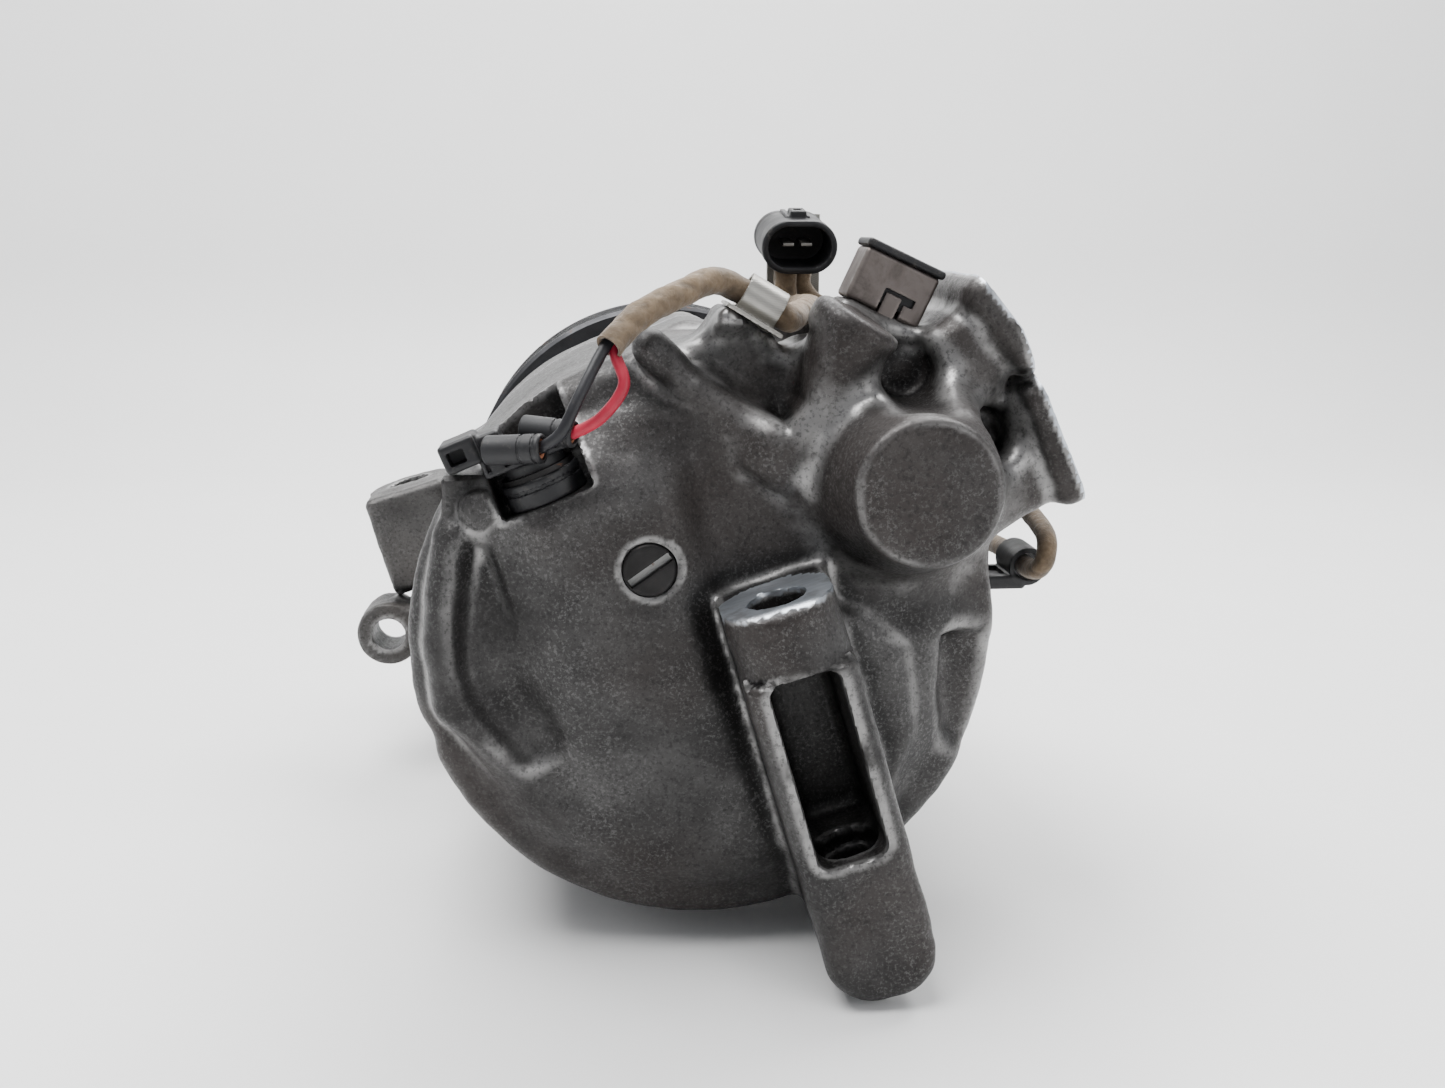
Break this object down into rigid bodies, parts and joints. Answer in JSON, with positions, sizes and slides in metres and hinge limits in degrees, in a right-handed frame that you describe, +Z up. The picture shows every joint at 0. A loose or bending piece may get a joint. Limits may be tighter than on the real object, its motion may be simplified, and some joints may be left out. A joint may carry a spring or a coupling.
{
  "type": "scroll compressor",
  "caption": "Belt-driven scroll compressor lying on its side: cast casing, magnetic clutch pulley, pipe ports, leaning mounting lug and sensor leads.",
  "frame": {"origin": "on the shaft's axis, in the middle plane of the belt", "axes": "+Y along the shaft, from the rear of the machine to its clutch; +Z up as the machine lies; +X to the right seen from the rear"},
  "size_m": [0.1619, 0.2315, 0.1468],
  "materials": {
    "cast_alloy": "as-cast, stained",
    "front_cast_alloy": "as-cast",
    "machined_alloy": "machined",
    "steel": "machined",
    "bearing_steel": "polished",
    "zinc_steel": "zinc plated, dull",
    "spring_steel": "satin",
    "sheet_steel": "aged, satin",
    "bronze": "satin",
    "black_steel": "semi-gloss",
    "pulley_steel": "satin",
    "seal_rubber": "matt",
    "black_plastic": "satin",
    "cage_plastic": "matt",
    "coil_resin": "gloss",
    "black_insulation": "matt",
    "red_insulation": "matt",
    "tan_sleeve": "aged, fibrous"
  },
  "bodies": {
    "casing": {"rear_housing": "cast_alloy", "front_housing": "front_cast_alloy", "casing_o_ring": "seal_rubber", "casing_bolts": "zinc_steel", "dowel_pins": "steel", "fixed_scroll": "machined_alloy", "fixed_scroll_tip_seal": "black_plastic", "scroll_o_ring": "seal_rubber", "reed_stop": "steel", "reed_screw": "zinc_steel", "orbit_pins": "bearing_steel", "thrust_plate": "steel", "main_bearing_outer_race": "bearing_steel", "front_bearing_outer_race": "bearing_steel", "shaft_seal": "seal_rubber", "seal_ring": "spring_steel", "pulley_bearing_inner_race": "bearing_steel", "pulley_bearing_ring": "spring_steel", "coil_shell": "black_steel", "coil_winding": "coil_resin", "coil_ring": "spring_steel", "screw_plug": "black_steel", "heat_switch": "black_plastic", "heat_switch_ring": "spring_steel", "switch_plug": "black_plastic", "switch_terminals": "black_plastic", "black_lead": "black_insulation", "red_lead": "red_insulation", "lead_sleeve": "tan_sleeve", "sleeve_clip": "zinc_steel", "box_bracket": "sheet_steel", "bracket_cap": "black_plastic", "coil_connector": "black_plastic", "connector_bracket": "zinc_steel", "coil_lead": "tan_sleeve", "coil_lead_clip": "black_plastic"},
    "shaft": {"crankshaft": "steel", "drive_bush": "steel", "counterweight": "bronze", "main_bearing_inner_race": "bearing_steel", "front_bearing_inner_race": "bearing_steel", "clutch_hub": "steel", "hub_nut": "zinc_steel", "leaf_springs": "spring_steel"},
    "clutch_plate": {"clutch_plate": "steel"},
    "orbiting_scroll": {"orbiting_scroll": "machined_alloy", "orbiting_scroll_tip_seal": "black_plastic", "orbit_rings": "bearing_steel", "crank_bearing_cup": "bearing_steel"},
    "crank_needles": {"crank_bearing_needles": "bearing_steel"},
    "main_bearing_set": {"main_bearing_balls": "bearing_steel", "main_bearing_cage": "bronze"},
    "front_bearing_set": {"front_bearing_balls": "bearing_steel", "front_bearing_cage": "bronze"},
    "pulley": {"pulley": "pulley_steel", "pulley_bearing_outer_race": "bearing_steel"},
    "pulley_bearing_set": {"pulley_bearing_balls": "bearing_steel", "pulley_bearing_cage": "cage_plastic"},
    "reed": {"discharge_reed": "spring_steel"}
  },
  "joints": [
    {"name": "shaft_spin", "type": "hinge", "parent": "casing", "child": "shaft", "pos_m": [0, 0, 0], "axis": [0, -1, 0], "continuous": true},
    {"name": "clutch_plate_slide", "type": "slide", "parent": "shaft", "child": "clutch_plate", "axis": [0, -1, 0], "range_m": [0, 0.00045], "stiffness_N_per_m": 20000, "deforming": ["leaf_springs"]},
    {"name": "orbit", "type": "hinge", "parent": "shaft", "child": "orbiting_scroll", "pos_m": [0, -0.09, 0.0043], "axis": [0, -1, 0], "continuous": true},
    {"name": "crank_needles_roll", "type": "hinge", "parent": "shaft", "child": "crank_needles", "pos_m": [0, -0.09, 0.0043], "axis": [0, -1, 0], "continuous": true},
    {"name": "main_bearing_roll", "type": "hinge", "parent": "casing", "child": "main_bearing_set", "pos_m": [0, 0, 0], "axis": [0, -1, 0], "continuous": true},
    {"name": "front_bearing_roll", "type": "hinge", "parent": "casing", "child": "front_bearing_set", "pos_m": [0, 0, 0], "axis": [0, -1, 0], "continuous": true},
    {"name": "pulley_spin", "type": "hinge", "parent": "casing", "child": "pulley", "pos_m": [0, 0, 0], "axis": [0, -1, 0], "continuous": true},
    {"name": "pulley_bearing_roll", "type": "hinge", "parent": "casing", "child": "pulley_bearing_set", "pos_m": [0, 0, 0], "axis": [0, -1, 0], "continuous": true},
    {"name": "reed_lift", "type": "hinge", "parent": "casing", "child": "reed", "pos_m": [0, -0.1472, -0.02], "axis": [1, 0, 0], "range_deg": [0, 6], "stiffness_Nm_per_rad": 0.05, "deforming": ["discharge_reed"]}
  ],
  "couplings": [
    {"joint": "orbit", "follows": "shaft_spin", "ratio": -1},
    {"joint": "crank_needles_roll", "follows": "shaft_spin", "ratio": -0.5533},
    {"joint": "main_bearing_roll", "follows": "shaft_spin", "ratio": 0.3909},
    {"joint": "front_bearing_roll", "follows": "shaft_spin", "ratio": 0.407},
    {"joint": "pulley_bearing_roll", "follows": "pulley_spin", "ratio": 0.5711}
  ]
}
